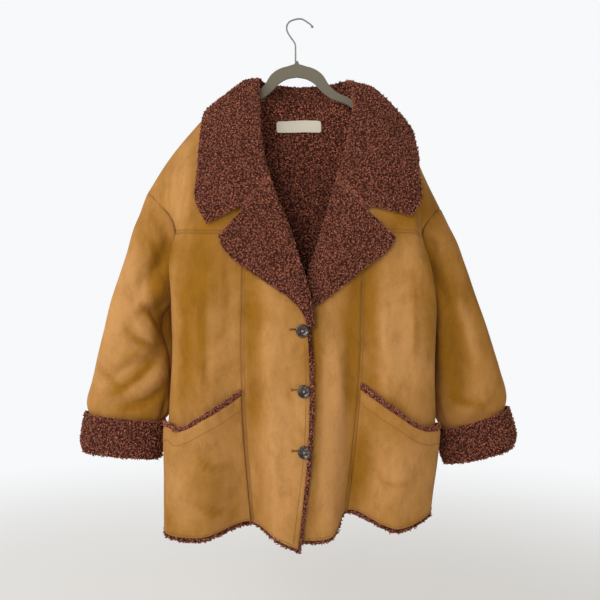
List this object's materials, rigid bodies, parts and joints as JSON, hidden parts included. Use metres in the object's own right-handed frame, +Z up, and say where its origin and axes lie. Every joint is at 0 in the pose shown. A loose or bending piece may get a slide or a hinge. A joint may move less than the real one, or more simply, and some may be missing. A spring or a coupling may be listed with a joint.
{
  "type": "faux suede sherpa coat on a hanger",
  "caption": "Loose button-front coat in suede-faced sherpa with wide notched collar, turned-back cuffs and slanting patch pockets, hanging open-necked on a slim hanger.",
  "frame": {"origin": "inside top of the hanger's hook, where it rests on a rail", "axes": "+Z up, the coat's front faces -Y, +X to the viewer's right"},
  "size_m": [0.9002, 0.1967, 1.0667],
  "materials": {
    "suede": "brushed matt nap",
    "sherpa": "curly pile",
    "horn": "polished marbled",
    "tape": "smooth woven",
    "velvet": "flocked matt",
    "chrome": "polished"
  },
  "bodies": {
    "root": {"side_front_left": "suede", "side_front_right": "suede", "centre_front_left": "suede", "centre_front_right": "suede", "front_yoke_left": "suede", "front_yoke_right": "suede", "sleeve_left": "suede", "sleeve_right": "suede", "back_body": "suede", "back_yoke": "suede", "pocket_left": "suede", "pocket_right": "suede", "cuff_left": "sherpa", "cuff_right": "sherpa", "lapel_left": "sherpa", "lapel_right": "sherpa", "collar": "sherpa", "button_1": "horn", "button_2": "horn", "button_3": "horn", "label": "tape", "hanger_body": "velvet", "hanger_hook": "chrome"}
  },
  "joints": []
}
